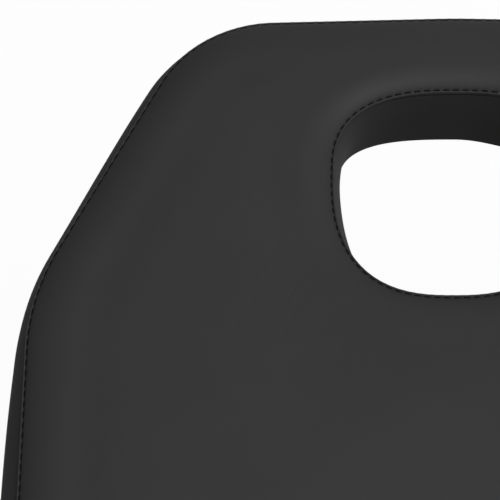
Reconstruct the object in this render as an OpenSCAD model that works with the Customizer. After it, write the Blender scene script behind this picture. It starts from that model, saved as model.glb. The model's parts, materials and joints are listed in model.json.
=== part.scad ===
// Height-adjustable massage table: two padded sections on a steel frame with telescopic legs.
// The origin is on the floor under the middle of the table. +Y points to the head end, +X to the right.

/* [Table top] */
// Length over both padded sections
table_l = 1850; // [1700:10:2000]
// Width over the fullest part of the pads
table_w = 620; // [560:5:760]
// Height of the padding's top at the lowest setting
table_h = 600; // [560:5:660]
// Thickness of a finished pad
pad_th = 80; // [70:1:95]
// Thickness of the plywood board in a pad
board_th = 15; // [12:1:18]
// Cover and its wadding above the foam
cover_top = 10; // [8:1:12]
// Cover's hem, and the dust cover, under the board
hem_th = 1.5; // [1:0.5:2]
// Width of the hem that is stapled under the board
hem_w = 12; // [8:1:14]
// How far the board's edge lies inside the outer seam
board_inset = 8; // [6:1:10]
// Length of the backrest section
back_l = 740; // [700:5:800]
// Gap between the two sections
section_gap = 8; // [6:1:12]
// Width of the rounded fall from the flat top to the outer seam
crown_w = 35; // [25:1:40]
// Depth of the outer seam below the top
seam_drop = 15.5; // [10:0.5:18]
// How far the side boxing bulges beyond the seam
side_bulge = 15; // [8:1:18]
// How far the head and foot boxing bulges beyond the seam
end_bulge = 8; // [4:1:12]
// How far the boxing bulges where the two sections meet
gap_bulge = 3; // [1:0.5:5]
// Radius of the pads' square corners at the seam
corner_r = 60; // [50:1:80]

/* [Head end] */
// Length along the table of each slanted corner
slant_l = 225; // [180:5:260]
// Width of the head end between the slants
head_w = 369; // [320:1:400]
// Radius where a side turns into a slant
shoulder_r = 178; // [120:2:200]
// Radius where a slant turns into the head end
temple_r = 88; // [60:1:100]
// How far the head end bows out at its middle
head_bow = 3.5; // [2:0.5:6]

/* [Face hole] */
// Width of the face hole at its seam
hole_w = 171; // [150:1:190]
// Flat strip between the crown at the head and the fall into the hole
hole_strip = 9; // [2:1:30]
// Reach of the hole from that line towards the head
hole_head_l = 65; // [58:1:80]
// Reach of the hole from that line towards the foot end
hole_foot_l = 97; // [80:1:110]
// Width of the rounded fall into the hole
hole_fall_w = 20; // [12:1:24]
// Depth of the hole's seam below the top
hole_seam_drop = 9; // [5:0.5:12]
// How far the hole's lining bulges beyond its seam
lining_bulge = 3; // [1:0.5:5]

/* [Bed frame] */
// Width of a side rail
rail_w = 30; // [25:1:35]
// Height of a side rail
rail_h = 50; // [45:1:60]
// Wall of the steel tubes
tube_wall = 2; // [1.5:0.5:3]
// From the pads' side seam in to a side rail's centre
rail_inset = 33; // [29:1:45]
// Gap between the side rails and the pads
pad_gap = 10; // [8:1:14]
// From the seat's foot end to the side rails' end
rail_foot_inset = 45; // [35:5:85]
// Side of the square cross rails
cross_s = 30; // [25:1:35]
// Thickness of the end caps on the rails
cap_th = 3; // [2:0.5:4]

/* [Legs] */
// From the side rails' head end back to the legs' centre
leg_inset = 40; // [30:5:60]
// Side of the square inner leg
inner_leg = 38; // [34:1:42]
// Wall of the guide bush between the inner and the outer leg
bush_wall = 3.1; // [2.1:0.5:4.1]
// Wall of the outer leg
outer_wall = 2.5; // [2:0.5:3]
// Part of the inner leg that shows at the lowest setting
leg_show = 49; // [40:1:60]
// Least overlap of the two legs at the highest setting
leg_overlap = 115; // [100:5:160]
// Spacing of the height settings
hole_step = 25; // [20:5:50]
// From the outer leg's top down to the locking pins
pin_drop = 70; // [60:5:80]
// Thickness of the plate on top of an inner leg
plate_th = 5; // [4:1:8]
// Height of the rubber foot under an outer leg
foot_h = 20; // [15:1:30]
// Height of the foot's plug inside the leg
foot_plug_h = 14; // [10:1:20]
// How far the rubber foot stands out round the leg
foot_edge = 1; // [0.5:0.5:5]
// Length of the guide bush inside the outer leg
bush_l = 40; // [30:1:45]
// Thickness of the guide bush's rim
bush_rim = 6; // [4:1:8]
// Height of the lower cross rails' centre
lower_z = 140; // [110:5:160]
// Height of a lower cross rail
lower_h = 40; // [30:1:50]
// Width of the long stretcher
stretcher_w = 40; // [36:1:50]
// Height of the long stretcher
stretcher_h = 30; // [26:1:36]

/* [Backrest] */
// Largest tilt of the backrest in degrees
tilt_max = 65; // [50:1:65]
// Depth of the hinge's axis below the top
axis_drop = 18; // [16:0.5:20]
// Radius of a hinge ear
ear_r = 12; // [10:0.5:12.5]
// Thickness of a hinge ear
ear_th = 4; // [3:0.5:5]
// Thickness of the bracket's foot under the backrest
foot_th = 5; // [4:0.5:5.5]
// Side of the square backrest tubes
back_tube = 25; // [20:1:25]
// From the middle of the table to a backrest rail's centre
back_rail_x = 147.5; // [140:0.5:150]
// From the hinge's axis to the backrest's first cross tube
back_cross_dist = 29; // [24:1:36]
// From the hinge's axis to the prop's pivot, lengthwise
pivot_dist = 180; // [165:1:195]
// Slope of the prop at rest in degrees
prop_rest = 7; // [5:1:8]
// Slope of the prop at the largest tilt in degrees
prop_steep = 74.5; // [70:0.5:78]
// Width of a prop arm
arm_w = 22; // [18:1:22]
// Thickness of a prop arm
arm_th = 6; // [4:0.5:8]
// Diameter of the prop's bar
bar_d = 16; // [14:1:18]
// Diameter of the plastic sleeves on the bar
sleeve_d = 22; // [20:1:24]
// Thickness of a rack plate
rack_th = 6; // [4:0.5:8]
// From the middle of the table to a rack plate's centre
rack_x = 100; // [90:1:110]
// Depth of a rack's notches
notch_depth = 4; // [2:0.5:6]

/* [Hardware] */
// Diameter of the large bolts
bolt_d = 8; // [8:1:10]
// Diameter of the pad bolts
pad_bolt_d = 6; // [5:1:6]
// Diameter of a locking pin
pin_d = 10; // [8:1:12]
// Travel of a locking pin
pin_travel = 9; // [8:0.5:9]
// Diameter of a locking pin's knob
knob_d = 28; // [24:1:36]
// Length of a locking pin's knob
knob_l = 25; // [20:1:30]

/* [Hidden] */
$fn = 48;

// Clearances and small values shared by all pieces
cut = 1;                  // overrun of every cut
fit = 0.3;                // gap at a sliding or turning fit
snug = 0.1;               // gap around an insert
thin = 0.5;               // gap between sheets in one plane
bolt_play = 0.6;          // extra diameter of a bolt's clearance hole
head_share = 0.65;        // a bolt head's height as a share of the bolt's diameter
head_d_share = 1.8;       // a bolt head's diameter as a share of the bolt's diameter

outer_leg = inner_leg + 2 * (fit + bush_wall + snug + outer_wall);

// Heights
pad_z = table_h - pad_th;
board_z = pad_z + hem_th;
foam_z = board_z + board_th;
foam_top = table_h - cover_top;
rail_top = pad_z - pad_gap;
rail_z = rail_top - rail_h;
plate_z = rail_z - plate_th;
outer_top = plate_z - bush_rim - leg_show;
pin_z = outer_top - pin_drop;
axis_z = table_h - axis_drop;
back_tube_z = pad_z - back_tube;

// Places along the table
foot_seam_y = -table_l / 2 + end_bulge;
head_seam_y = table_l / 2 - end_bulge;
back_near_y = table_l / 2 - back_l;
back_seam_y = back_near_y + gap_bulge;
seat_far_y = back_near_y - section_gap;
seat_seam_y = seat_far_y - gap_bulge;
axis_y = back_near_y - section_gap / 2;
hole_y = head_seam_y - crown_w - hole_strip - hole_fall_w - hole_head_l;
rail_foot_y = table_l / 2 - rail_foot_inset;
rail_head_y = table_l / 2 - slant_l;
leg_y = rail_head_y - leg_inset;

// Places across the table
seam_x = table_w / 2 - side_bulge;
rail_x = seam_x - rail_inset;

// Outlines: a point is [x, y, outward x, outward y], and they run anticlockwise
corner_steps = 6;
slant_steps = 4;
temple_steps = 5;
bow_steps = 2;
bow_r_share = 0.12;       // keeps the bow's arc short beside the head's width
hole_power = 2.6;         // 2 would be an ellipse, more is squarer

function unit(v) = v / norm(v);
function arc_at(before, at, after, r, steps) =
    let (a = unit(before - at), b = unit(after - at), half = acos(a * b) / 2)
    let (centre = at + unit(a + b) * r / sin(half), from = at + a * r / tan(half) - centre)
    let (start = atan2(from.y, from.x), turn = 180 - 2 * half)
    [for (i = [0:steps]) let (t = start + turn * i / steps)
        [centre.x + r * cos(t), centre.y + r * sin(t), cos(t), sin(t)]];
function between(p, q, count) =
    [for (i = [1:1:count]) let (s = i / (count + 1))
        [p.x + (q.x - p.x) * s, p.y + (q.y - p.y) * s, p[2] + (q[2] - p[2]) * s, p[3] + (q[3] - p[3]) * s]];
// A corner is [place, radius, steps, points on the straight edge after it]
function outline(corners) =
    let (n = len(corners))
    let (arcs = [for (i = [0:n - 1]) arc_at(corners[(i + n - 1) % n][0], corners[i][0],
        corners[(i + 1) % n][0], corners[i][1], corners[i][2])])
    [for (i = [0:n - 1]) each concat(arcs[i],
        between(arcs[i][len(arcs[i]) - 1], arcs[(i + 1) % n][0], corners[i][3]))];

bow_r = bow_r_share * head_w * head_w / 8 / head_bow;
back_corners = [
    [[seam_x, back_seam_y], corner_r, corner_steps, 2],
    [[seam_x, head_seam_y - slant_l], shoulder_r, slant_steps, 1],
    [[head_w / 2, head_seam_y - head_bow], temple_r, temple_steps, 1],
    [[0, head_seam_y], bow_r, bow_steps, 1],
    [[-head_w / 2, head_seam_y - head_bow], temple_r, temple_steps, 1],
    [[-seam_x, head_seam_y - slant_l], shoulder_r, slant_steps, 2],
    [[-seam_x, back_seam_y], corner_r, corner_steps, 3]];
seat_corners = [
    [[seam_x, foot_seam_y], corner_r, corner_steps, 3],
    [[seam_x, seat_seam_y], corner_r, corner_steps, 2],
    [[-seam_x, seat_seam_y], corner_r, corner_steps, 3],
    [[-seam_x, foot_seam_y], corner_r, corner_steps, 2]];
back_outline = outline(back_corners);
seat_outline = outline(seat_corners);

// The hole's points follow the outline's points, so that the rings between them match
function hole_point(t) =
    let (c = cos(t), s = sin(t), l = s > 0 ? hole_head_l : hole_foot_l)
    let (cx = pow(abs(c), 2 / hole_power) * sign(c), sy = pow(abs(s), 2 / hole_power) * sign(s))
    let (gx = pow(abs(cx), hole_power - 1) * sign(c) * l)
    let (gy = pow(abs(sy), hole_power - 1) * sign(s) * hole_w / 2)
    let (g = unit([gx, gy]))
    [cx * hole_w / 2, hole_y + sy * l, g.x, g.y];
hole_even_share = 0.55;   // how far the hole's points are evened out
hole_first = atan2(back_outline[0].y - hole_y, back_outline[0].x);
function turned(a) = a < hole_first ? a + 360 : a;
hole_outline = [for (i = [0:len(back_outline) - 1])
    let (p = back_outline[i], n = len(back_outline))
    let (seen = turned(atan2(p.y - hole_y, p.x)), even = hole_first + 360 * i / n)
    hole_point(seen + (even - seen) * hole_even_share)];

// Profiles: [reach, drop] as shares of the crown's width and the seam's depth,
// then of the bulge and the height of the boxing under the seam
crown_shares = [[1, 0], [0.63, 0.1], [0.34, 0.29], [0.14, 0.58], [0, 1]];
boxing_shares = [[0.55, 0.1], [1, 0.36], [0.8, 0.7], [0.5, 1]];
fall_shares = [[1, 0], [0.55, 0.13], [0.22, 0.42], [0, 1]];
lining_shares = [[1, 0.42], [0.4, 1]];

function bulge(p, up, down) = side_bulge * p[2] * p[2] + (p[3] > 0 ? up : down) * p[3] * p[3];
function ring(points, out, drop) = [for (p = points) [p.x + p[2] * out, p.y + p[3] * out, table_h - drop]];
function bulged_ring(points, share, drop, up, down) =
    [for (p = points) let (b = share * bulge(p, up, down)) [p.x + p[2] * b, p.y + p[3] * b, table_h - drop]];
function outer_rings(points, up, down) = concat(
    [for (s = crown_shares) ring(points, -s[0] * crown_w, s[1] * seam_drop)],
    [for (s = boxing_shares) bulged_ring(points, s[0], seam_drop + s[1] * (pad_th - seam_drop), up, down)],
    [for (d = [pad_th, pad_th - hem_th]) ring(points, -board_inset - hem_w, d)],
    [for (d = [pad_th - hem_th, cover_top]) ring(points, -board_inset, d)]);
function hole_rings(points) = concat(
    [for (d = [cover_top, pad_th - hem_th]) ring(points, board_inset, d)],
    [for (d = [pad_th - hem_th, pad_th]) ring(points, board_inset + hem_w, d)],
    [for (i = [len(lining_shares) - 1:-1:0]) let (s = lining_shares[i])
        ring(points, -s[0] * lining_bulge, hole_seam_drop + s[1] * (pad_th - hole_seam_drop))],
    [for (i = [len(fall_shares) - 1:-1:0]) let (s = fall_shares[i])
        ring(points, s[0] * hole_fall_w, s[1] * hole_seam_drop)]);

// Skins rings of equal size: round and round when looped, otherwise closed by a point at each end
function middle_y(r) = (max([for (p = r) p.y]) + min([for (p = r) p.y])) / 2;
module skin(rings, looped) {
    n = len(rings[0]);
    k = len(rings);
    points = [for (r = rings) each r];
    mid = [for (r = [rings[0], rings[k - 1]]) [0, middle_y(r), r[0].z]];
    walls = [for (j = [0:(looped ? k - 1 : k - 2)], i = [0:n - 1])
        let (next_i = (i + 1) % n, next_j = (j + 1) % k)
        let (a = j * n + i, b = j * n + next_i, c = next_j * n + next_i, d = next_j * n + i)
        each [[a, b, c], [a, c, d]]];
    ends = [for (i = [0:n - 1]) each [[n * k, (i + 1) % n, i],
        [n * k + 1, (k - 1) * n + i, (k - 1) * n + (i + 1) % n]]];
    polyhedron(points = looped ? points : concat(points, mid), faces = looped ? walls : concat(walls, ends),
        convexity = 6);
}
module plate(points, inset, z, th) {
    translate([0, 0, z])
        linear_extrude(height = th)
            polygon([for (p = points) [p.x - p[2] * inset, p.y - p[3] * inset]]);
}

// Plain shapes along the three axes
module tube_y(w, h, wall, from, to) {
    translate([0, from, 0])
        difference() {
            translate([-w / 2, 0, -h / 2])
                cube([w, to - from, h]);
            translate([-w / 2 + wall, -cut, -h / 2 + wall])
                cube([w - 2 * wall, to - from + 2 * cut, h - 2 * wall]);
        }
}
module tube_x(w, h, wall, from, to) {
    rotate([0, 0, -90])
        tube_y(w, h, wall, from, to);
}
module tube_z(s, wall, from, to) {
    translate([0, 0, from])
        difference() {
            translate([-s / 2, -s / 2, 0])
                cube([s, s, to - from]);
            translate([-s / 2 + wall, -s / 2 + wall, -cut])
                cube([s - 2 * wall, s - 2 * wall, to - from + 2 * cut]);
        }
}
module block(x, y, z) {
    translate([x[0], y[0], z[0]])
        cube([x[1] - x[0], y[1] - y[0], z[1] - z[0]]);
}
module rod_x(d, from, to) {
    translate([from, 0, 0])
        rotate([0, 90, 0])
            cylinder(d = d, h = to - from);
}
module rod_y(d, from, to) {
    translate([0, from, 0])
        rotate([-90, 0, 0])
            cylinder(d = d, h = to - from);
}
module both_sides() {
    for (side = [0, 1])
        mirror([side, 0, 0])
            children();
}
// Puts a leg's pieces at a corner: end is 1 at the head and -1 at the foot, side is 1 on the right
module at_leg(end, side) {
    translate([side * rail_x, end * leg_y, 0])
        mirror([0, end > 0 ? 0 : 1, 0])
            children();
}
module at_legs() {
    for (end = [-1, 1], side = [-1, 1])
        at_leg(end, side)
            children();
}

// Base: outer legs, feet, bushes and the lower frame
bush_in = inner_leg + 2 * fit;
bush_out = bush_in + 2 * bush_wall;
foot_s = outer_leg + 2 * foot_edge;
pin_hole_play = 1;
pin_hole_d = pin_d + pin_hole_play;
pin_bore_d = pin_d + 2 * fit;
module outer_leg_piece() {
    color("silver")
        difference() {
            tube_z(outer_leg, outer_wall, foot_h, outer_top);
            translate([0, 0, pin_z])
                rod_y(pin_hole_d, inner_leg / 2, outer_leg / 2 + cut);
        }
}
module rubber_feet() {
    plug = outer_leg - 2 * outer_wall - 2 * fit;
    color("#222222")
        at_legs() {
            linear_extrude(height = foot_h)
                square(foot_s, center = true);
            translate([0, 0, foot_h])
                linear_extrude(height = foot_plug_h)
                    square(plug, center = true);
        }
}
module guide_bushes() {
    color("#2b2b2b")
        at_legs()
            difference() {
                union() {
                    translate([0, 0, outer_top - bush_l / 2])
                        cube([bush_out, bush_out, bush_l], center = true);
                    translate([0, 0, outer_top + bush_rim / 2])
                        cube([outer_leg, outer_leg, bush_rim], center = true);
                }
                translate([0, 0, outer_top])
                    cube([bush_in, bush_in, 2 * (bush_l + cut)], center = true);
            }
}
lower_w = cross_s;
bolt_side = stretcher_w / 4;
bolt_head = bolt_d * head_share;
end_plate = 3 * tube_wall / 2;
module nut_y(d, from, to) {
    difference() {
        rotate([-90, 0, 0])
            translate([0, 0, from])
                cylinder(d = d * head_d_share, h = to - from, $fn = 6);
        rod_y(d, from - cut, to + cut);
    }
}
module lower_rail() {
    reach = rail_x - outer_leg / 2;
    color("silver")
        translate([0, leg_y, lower_z])
            difference() {
                tube_x(lower_w, lower_h, tube_wall, -reach, reach);
                for (side = [-1, 1])
                    translate([side * bolt_side, 0, 0])
                        rod_y(bolt_d + bolt_play, -lower_w, lower_w);
            }
}
module lower_rail_head() {
    lower_rail();
}
module lower_rail_foot() {
    mirror([0, 1, 0])
        lower_rail();
}
stretcher_end = leg_y - lower_w / 2;
module stretcher() {
    color("silver")
        translate([0, 0, lower_z]) {
            tube_y(stretcher_w, stretcher_h, tube_wall, -stretcher_end, stretcher_end);
            for (end = [0, 1])
                mirror([0, end, 0])
                    difference() {
                        block([-stretcher_w / 2 + tube_wall, stretcher_w / 2 - tube_wall],
                            [stretcher_end - end_plate, stretcher_end],
                            [-stretcher_h / 2 + tube_wall, stretcher_h / 2 - tube_wall]);
                        for (side = [-1, 1])
                            translate([side * bolt_side, 0, 0])
                                rod_y(bolt_d + bolt_play, stretcher_end - end_plate - cut,
                                    stretcher_end + cut);
                    }
        }
}
module stretcher_bolts() {
    outside = leg_y + lower_w / 2;
    nut_from = stretcher_end - end_plate - bolt_head;
    color("#b8b8b8")
        for (end = [0, 1], side = [-1, 1])
            mirror([0, end, 0])
                translate([side * bolt_side, 0, lower_z]) {
                    rod_y(bolt_d, nut_from - end_plate, outside + cut);
                    rod_y(bolt_d * head_d_share, outside, outside + bolt_head);
                    nut_y(bolt_d, nut_from, stretcher_end - end_plate);
                }
}

// Locking pins: places along +Y from the leg's axis
housing_from = outer_leg / 2;
housing_front = 3.5;
housing_l = 25;
housing_cap = 2.5;
housing_wall = 5;
housing_d = pin_d + 2 * housing_wall;
collar_step = 2;
collar_d = pin_d + 2 * collar_step;
collar_l = 2.2;
stem_step = 1.2;
stem_d = pin_d - 2 * stem_step;
tip_gap = 1;
tip = inner_leg / 2 + tip_gap;
stop_gap = 0.5;
chamber_from = housing_from + housing_front;
chamber_to = housing_from + housing_l - housing_cap;
collar_from = chamber_from + pin_travel + stop_gap;
spring_wire = 1.4;
spring_pitch = 1.33;
knob_from = housing_from + housing_l + pin_travel + stop_gap;
knob_roof = 5;
knob_depth = knob_l - knob_roof;
// Knob: [diameter at the bottom, diameter at the top, from, to] as shares of its diameter and length
knob_shares = [[0.6, 0.63, 0, 0.45], [1, 1, 0.4, 0.85], [1, 0.8, 0.85, 1]];
module pin_housings() {
    color("#9a9a9a")
        at_legs()
            translate([0, 0, pin_z]) {
                difference() {
                    rod_y(housing_d, housing_from, chamber_to);
                    rod_y(pin_bore_d, housing_from - cut, chamber_to + cut);
                    rod_y(collar_d + 2 * fit, chamber_from, chamber_to + cut);
                }
                difference() {
                    rod_y(housing_d, chamber_to, chamber_to + housing_cap);
                    rod_y(stem_d + 2 * fit, chamber_to - cut, chamber_to + housing_cap + cut);
                }
            }
}
module pin_springs() {
    from = collar_from + collar_l + fit;
    coils = floor((chamber_to - fit - from) / spring_wire);
    mean_r = (stem_d + collar_d) / 4 + spring_wire / 4;
    color("#8c8c8c")
        at_legs()
            translate([0, chamber_to - fit, pin_z])
                rotate([90, 0, 0])
                    rotate_extrude()
                        for (i = [0:coils - 1])
                            translate([mean_r, (i + 0.5) * spring_pitch])
                                circle(d = spring_wire, $fn = 24);
}
module locking_pin(end, side) {
    color("#c9c9c9")
        at_leg(end, side)
            translate([0, 0, pin_z]) {
                rod_y(pin_d, tip, collar_from + collar_l / 2);
                rod_y(collar_d, collar_from, collar_from + collar_l);
                rod_y(stem_d, collar_from + collar_l / 2, knob_from + knob_depth - fit);
            }
}
module pin_knob(end, side) {
    color("#1d1d1d")
        at_leg(end, side)
            translate([0, knob_from, pin_z])
                rotate([-90, 0, 0])
                    difference() {
                        for (s = knob_shares)
                            translate([0, 0, s[2] * knob_l])
                                cylinder(d1 = s[0] * knob_d, d2 = s[1] * knob_d, h = (s[3] - s[2]) * knob_l);
                        translate([0, 0, -cut])
                            cylinder(d = stem_d + 2 * snug, h = knob_depth + cut);
                    }
}

// Bed: inner legs, the frame under the pads and the racks
inner_from = foot_h + foot_plug_h + fit;
lift = outer_top - inner_from - leg_overlap;
holes = floor(lift / hole_step);
plate_inset = 3;
plate_lap = 5;
plate_x = outer_leg - 2 * plate_inset;
plate_y = outer_leg + 2 * plate_lap;
module inner_leg_piece() {
    color("#c4c4c4")
        difference() {
            tube_z(inner_leg, tube_wall, inner_from, plate_z);
            for (i = [0:holes])
                translate([0, 0, pin_z - i * hole_step])
                    rod_y(pin_hole_d, inner_leg / 4, inner_leg / 2 + cut);
        }
}
module leg_plates() {
    color("silver")
        at_legs()
            translate([0, 0, plate_z + plate_th / 2])
                cube([plate_x, plate_y, plate_th], center = true);
}
seat_bolt_inset = 160;    // from the hinge's axis to the nearest seat bolts
seat_bolt_ends = [-(leg_y + rail_foot_y) / 2, axis_y - seat_bolt_inset];
seat_bolt_ys = [seat_bolt_ends[0], (seat_bolt_ends[0] + seat_bolt_ends[1]) / 2, seat_bolt_ends[1]];
bumper_shares = [0.2, 0.56];
bumper_ys = [for (s = bumper_shares) back_near_y + s * back_l];
bumper_edge = 4;
bumper_d = rail_w - 2 * bumper_edge;
pad_head = pad_bolt_d * head_share;
module side_rail(side) {
    color("silver")
        difference() {
            translate([side * rail_x, 0, rail_z + rail_h / 2])
                tube_y(rail_w, rail_h, tube_wall, -rail_foot_y, rail_head_y);
            for (y = seat_bolt_ys)
                translate([side * rail_x, y, rail_z - cut])
                    cylinder(d = pad_bolt_d + bolt_play, h = rail_h + 2 * cut);
        }
}
cross_reach = rail_x - rail_w / 2;
cross_z = rail_z + cross_s / 2;
rack_near_gap = 26;       // from the prop's pivot back to the near rack rail's centre
rack_near_y = axis_y + pivot_dist - rack_near_gap;
module cross_rail(y) {
    color("silver")
        translate([0, y, cross_z])
            tube_x(cross_s, cross_s, tube_wall, -cross_reach, cross_reach);
}
module rail_end_caps() {
    inner = [rail_w - 2 * tube_wall - 2 * fit, rail_h - 2 * tube_wall - 2 * fit];
    plug_l = rail_w / 2;
    color("#1d1d1d")
        for (side = [-1, 1], end = [[-rail_foot_y, -1], [rail_head_y, 1]])
            translate([side * rail_x, end[0], rail_z + rail_h / 2])
                mirror([0, end[1] > 0 ? 0 : 1, 0]) {
                    block([-rail_w / 2, rail_w / 2], [0, cap_th], [-rail_h / 2, rail_h / 2]);
                    block([-inner.x / 2, inner.x / 2], [-plug_l, 0], [-inner.y / 2, inner.y / 2]);
                }
}

// Hinge: fixed ears on the rails, brackets on the backrest, bolts and bushes between them
ear_x = rail_x + rail_w / 2;
bracket_x = ear_x + ear_th + fit;
bracket_out = bracket_x + ear_th;
ear_foot_h = 5;
ear_foot_z = rail_z + ear_foot_h;
hinge_bush_wall = 2;
bush_d = bolt_d + 2 * hinge_bush_wall;
bush_bore = bolt_d + 2 * snug;
bush_flange = 1;
flange_share = 1.7;
bush_flange_d = ear_r * flange_share;
module ear_plate(x_from, z_from, hole_d) {
    difference() {
        union() {
            block([x_from, x_from + ear_th], [axis_y - ear_r, axis_y + ear_r], [z_from, axis_z]);
            translate([0, axis_y, axis_z])
                rod_x(2 * ear_r, x_from, x_from + ear_th);
        }
        translate([0, axis_y, axis_z])
            rod_x(hole_d, x_from - cut, x_from + ear_th + cut);
    }
}
module hinge_ears() {
    color("silver")
        both_sides()
            ear_plate(ear_x, ear_foot_z, bolt_d + 2 * snug);
}
nut_share = 0.85;
hinge_nut = bolt_d * nut_share;
module hinge_bolts() {
    head_from = bracket_out + bush_flange + fit;
    color("#b8b8b8")
        both_sides()
            translate([0, axis_y, axis_z]) {
                rod_x(bolt_d, ear_x - hinge_nut - cut, head_from + bolt_head / 2);
                rod_x(bolt_d * head_d_share, head_from, head_from + bolt_head);
                difference() {
                    translate([ear_x - hinge_nut, 0, 0])
                        rotate([0, 90, 0])
                            cylinder(d = bolt_d * head_d_share, h = hinge_nut, $fn = 6);
                    rod_x(bolt_d, ear_x - hinge_nut - cut, ear_x + cut);
                }
            }
}
module hinge_bushes() {
    color("white")
        both_sides()
            translate([0, axis_y, axis_z])
                difference() {
                    union() {
                        rod_x(bush_d, bracket_x, bracket_out);
                        rod_x(bush_flange_d, bracket_out, bracket_out + bush_flange);
                    }
                    rod_x(bush_bore, bracket_x - cut, bracket_out + bush_flange + cut);
                }
}
back_cross_y = axis_y + back_cross_dist;
back_cross_inset = 7;
back_cross_reach = cross_reach - back_cross_inset;
back_cap = 2;
ear_gap = 1;
bracket_foot_y = axis_y + ear_r + ear_gap;
bracket_lap = 40;
// A bracket's foot passes the fixed ear on the backrest's side and laps the first cross tube
module hinge_brackets() {
    foot_z = [pad_z - foot_th, pad_z];
    color("silver")
        both_sides() {
            ear_plate(bracket_x, pad_z - foot_th, bush_d);
            block([bracket_x, bracket_out], [axis_y - ear_r, back_cross_y], foot_z);
            block([back_cross_reach - bracket_lap, bracket_out], [bracket_foot_y, back_cross_y], foot_z);
            block([back_cross_reach + back_cap + fit, bracket_out],
                [bracket_foot_y, back_cross_y + back_tube], foot_z);
        }
}

// Prop: the path of its bar in the plane across the table, measured from the hinge's axis
prop_pivot = [pivot_dist, -(axis_z - pad_z) - back_tube / 2];
pivot_r = norm(prop_pivot);
pivot_a = atan2(prop_pivot.y, prop_pivot.x);
pivot_top = pivot_r * sin(pivot_a + tilt_max);
// The bar stands as high at the largest tilt as at rest, which sets the prop's length
prop_l = (pivot_top - prop_pivot.y) / (sin(prop_steep) - sin(prop_rest));
bar_rest = prop_pivot + prop_l * [cos(-prop_rest), sin(-prop_rest)];
prop_rate = (prop_steep - prop_rest) / tilt_max;
echo(prop_ratio = -prop_rate - 1, bar_rest = bar_rest, prop_l = prop_l, pivot = prop_pivot, lift = lift);
function bar_at(t) = pivot_r * [cos(pivot_a + t), sin(pivot_a + t)]
    + prop_l * [cos(-prop_rest - prop_rate * t), sin(-prop_rest - prop_rate * t)];
rack_reach = sleeve_d / 2 + fit;
rack_hang = 35;
rack_foot = rail_z - rack_hang;
rack_from = rack_near_y + cross_s / 2;
rack_to = axis_y + bar_rest.x + sleeve_d;
rack_top = rail_z + cross_s;
rack_far_y = rack_to + cross_s / 2;
rack_slice = 1.25;
notch_first = 20;
notch_turn = 7.5;
below_bar = [for (t = [0:0.5:tilt_max]) bar_at(t)];
notches = [for (t = [notch_first:notch_turn:tilt_max]) bar_at(t) - [0, notch_depth]];
// The edge under a round bar, one slice wider than the bar so that its straight steps stay clear
function under(c, y, r) =
    let (off = max(0, abs(y - c.x) - rack_slice))
    off < r ? axis_z + c.y - sqrt(r * r - off * off) : rack_top;
function rack_edge(y) = min(rack_top,
    min([for (c = below_bar) under(c, y - axis_y, rack_reach)]),
    min([for (c = notches) under(c, y - axis_y, rack_reach)]));
module rack(side) {
    slices = ceil((rack_to - rack_from) / rack_slice);
    top = [for (i = [0:slices]) let (y = rack_from + (rack_to - rack_from) * i / slices) [y, rack_edge(y)]];
    points = concat([[rack_from, rack_foot + rail_h / 2], [rack_from + rail_h / 2, rack_foot],
        [rack_to - rail_h / 2, rack_foot], [rack_to, rack_foot + rail_h / 2]],
        [for (i = [slices:-1:0]) top[i]]);
    color("#a8a8a8")
        translate([side * rack_x - rack_th / 2, 0, 0])
            rotate([90, 0, 90])
                linear_extrude(height = rack_th)
                    polygon(points);
}
arm_x = back_rail_x - back_tube / 2 - fit - arm_th;
module prop_arm(side) {
    pivot = [axis_y + prop_pivot.x, axis_z + prop_pivot.y];
    color("silver")
        mirror([side > 0 ? 0 : 1, 0, 0])
            translate([0, pivot.x, pivot.y])
                rotate([-prop_rest, 0, 0])
                    difference() {
                        union() {
                            block([arm_x, arm_x + arm_th], [0, prop_l], [-arm_w / 2, arm_w / 2]);
                            rod_x(arm_w, arm_x, arm_x + arm_th);
                            translate([0, prop_l, 0])
                                rod_x(arm_w, arm_x, arm_x + arm_th);
                        }
                        rod_x(bolt_d + 2 * snug, arm_x - cut, arm_x + arm_th + cut);
                    }
}
sleeve_over = 6;
sleeve_l = rack_th + 2 * sleeve_over;
module prop_bar() {
    color("silver")
        translate([0, axis_y + bar_rest.x, axis_z + bar_rest.y])
            difference() {
                rod_x(bar_d, -arm_x, arm_x);
                rod_x(bar_d - 2 * tube_wall, -arm_x - cut, arm_x + cut);
            }
}
module prop_sleeves() {
    color("#1d1d1d")
        both_sides()
            translate([0, axis_y + bar_rest.x, axis_z + bar_rest.y])
                difference() {
                    rod_x(sleeve_d, rack_x - sleeve_l / 2, rack_x + sleeve_l / 2);
                    rod_x(bar_d + 2 * snug, rack_x - sleeve_l, rack_x + sleeve_l);
                }
}
module prop_bolts() {
    outside = back_rail_x + back_tube / 2;
    nut_from = arm_x - fit - hinge_nut;
    color("#b8b8b8")
        both_sides()
            translate([0, axis_y + prop_pivot.x, axis_z + prop_pivot.y]) {
                rod_x(bolt_d, nut_from - cut, outside + cut);
                rod_x(bolt_d * head_d_share, outside, outside + bolt_head);
                difference() {
                    translate([nut_from, 0, 0])
                        rotate([0, 90, 0])
                            cylinder(d = bolt_d * head_d_share, h = hinge_nut, $fn = 6);
                    rod_x(bolt_d, nut_from - cut, nut_from + hinge_nut + cut);
                }
            }
}

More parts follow.
